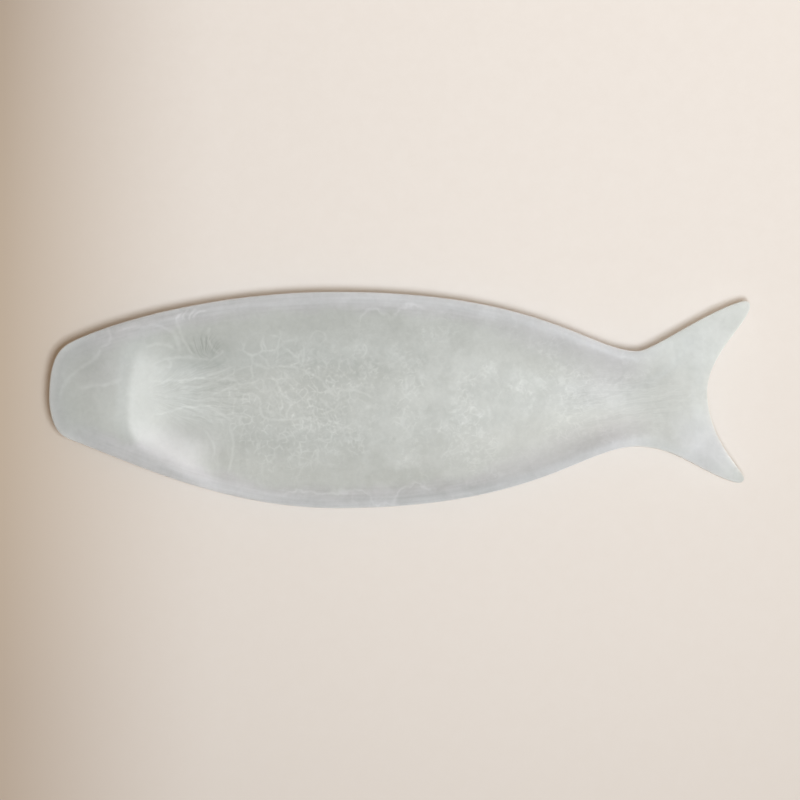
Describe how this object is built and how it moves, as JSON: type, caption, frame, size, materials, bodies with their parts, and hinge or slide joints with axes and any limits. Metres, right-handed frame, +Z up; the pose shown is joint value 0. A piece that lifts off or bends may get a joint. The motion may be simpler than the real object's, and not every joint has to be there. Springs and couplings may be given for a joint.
{
  "type": "fish shaped platter",
  "caption": "Long shallow fish-shaped serving platter in cloudy marbled resin, with a flat head shelf, a deep oval well and a forked tail, standing on clear stick-on bumpers.",
  "frame": {"origin": "on the table, below the middle of the platter's length and width", "axes": "+X from the snout to the tail, +Y to the back of the fish, +Z up"},
  "size_m": [0.56, 0.173, 0.026],
  "materials": {
    "marbled_resin": "satin, cloudy white veins in pale grey",
    "clear_bumper": "clear soft polyurethane"
  },
  "bodies": {
    "root": {"platter": "marbled_resin", "bumper_head_back": "clear_bumper", "bumper_head_belly": "clear_bumper", "bumper_middle_back": "clear_bumper", "bumper_middle_belly": "clear_bumper", "bumper_tail_back": "clear_bumper", "bumper_tail_belly": "clear_bumper"}
  },
  "joints": []
}
